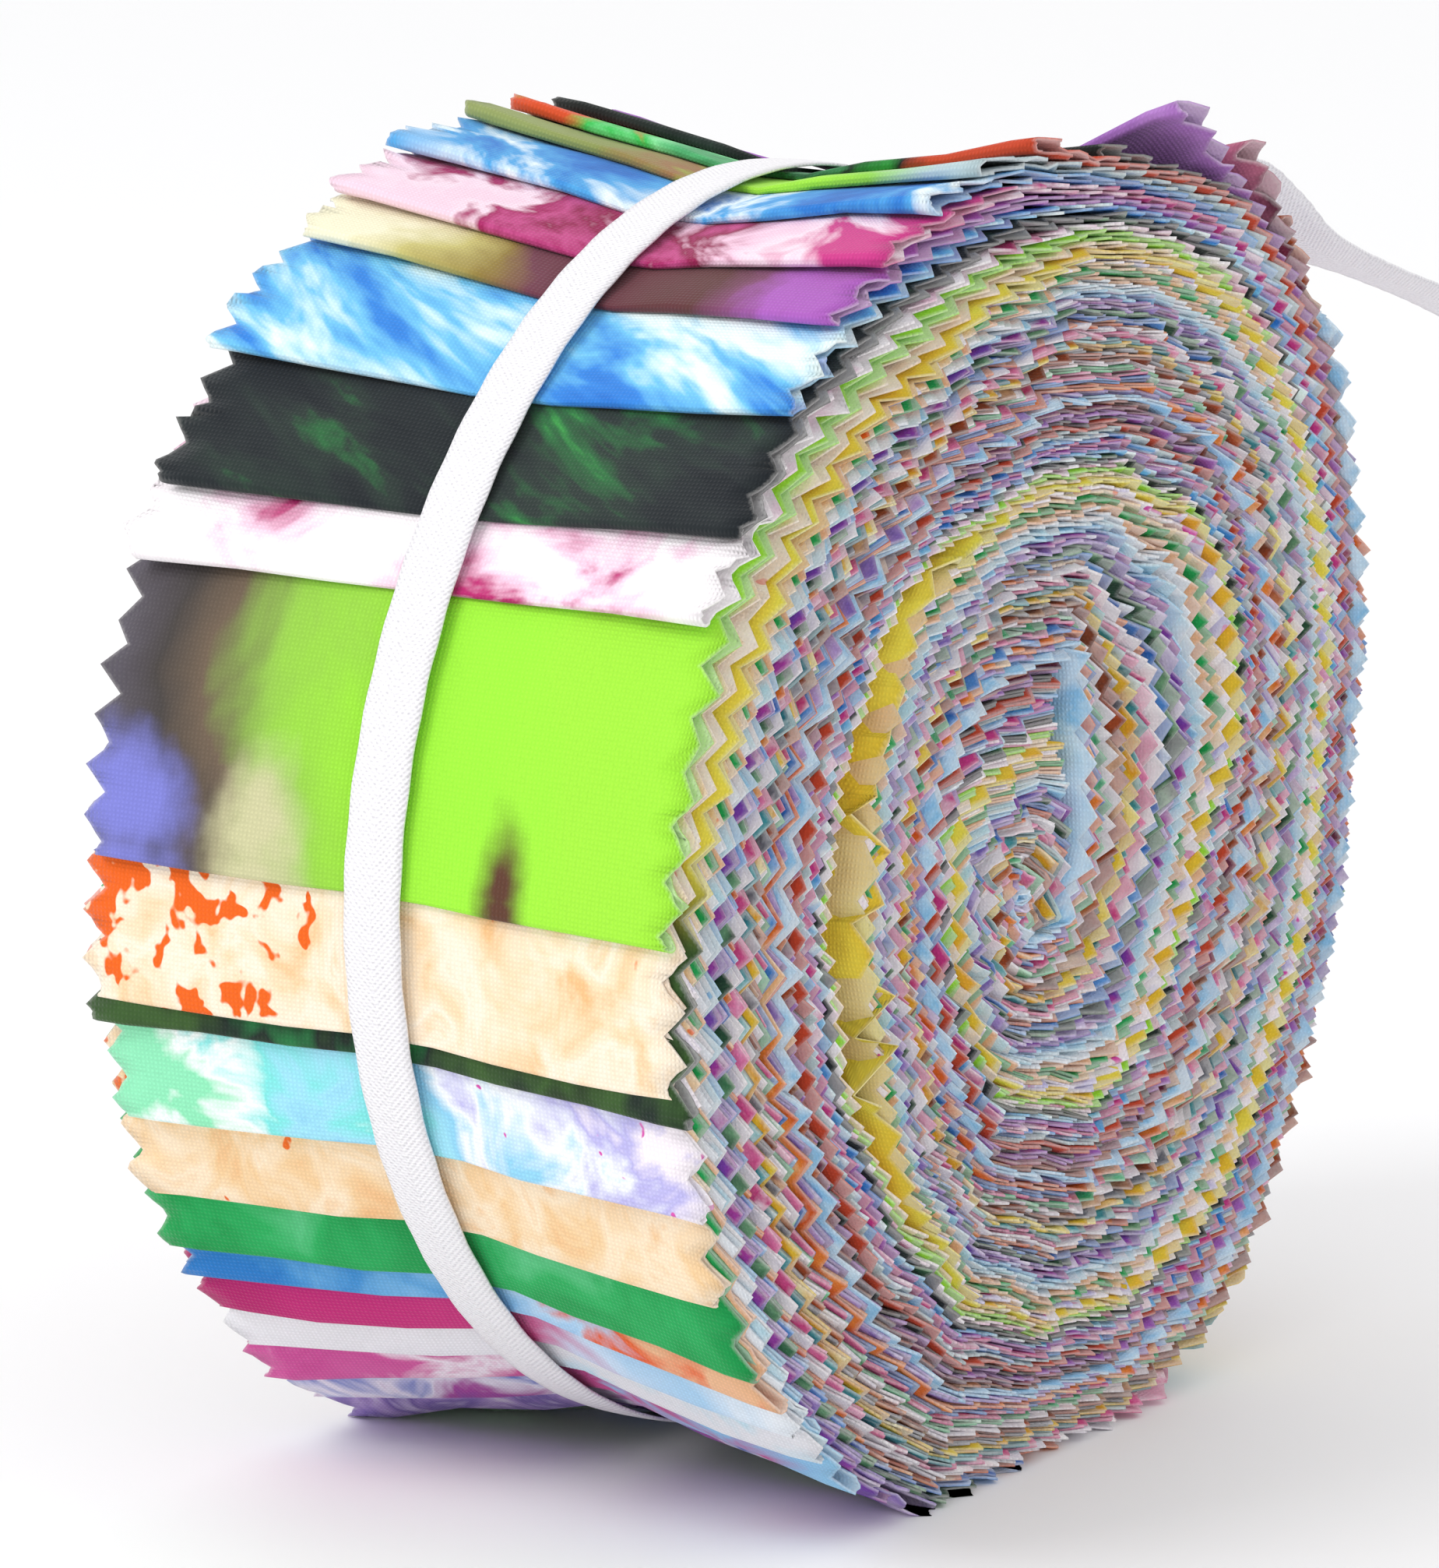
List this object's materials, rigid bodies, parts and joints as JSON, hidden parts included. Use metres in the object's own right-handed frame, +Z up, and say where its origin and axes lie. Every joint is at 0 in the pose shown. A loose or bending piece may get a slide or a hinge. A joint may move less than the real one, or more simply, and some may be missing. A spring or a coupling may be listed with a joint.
{
  "type": "tied roll of fabric strips",
  "caption": "Wound roll of folded printed cotton strips with zigzag-cut edges, standing on its side and squeezed in the middle by a narrow white ribbon with two loose ends.",
  "frame": {"origin": "centre of the roll's footprint on the surface it stands on, measured without the two free ribbon ends", "axes": "X along the winding axis, across the strips; Y from the front wall to the back; Z up"},
  "size_m": [0.0634, 0.2048, 0.1209],
  "materials": {
    "printed_cotton": "matte printed cotton, many colours",
    "woven_tape": "matte white woven tape"
  },
  "bodies": {
    "root": {"roll": "printed_cotton", "ribbon_band": "woven_tape", "ribbon_knot": "woven_tape", "ribbon_tail_long": "woven_tape", "ribbon_tail_short": "woven_tape"}
  },
  "joints": []
}
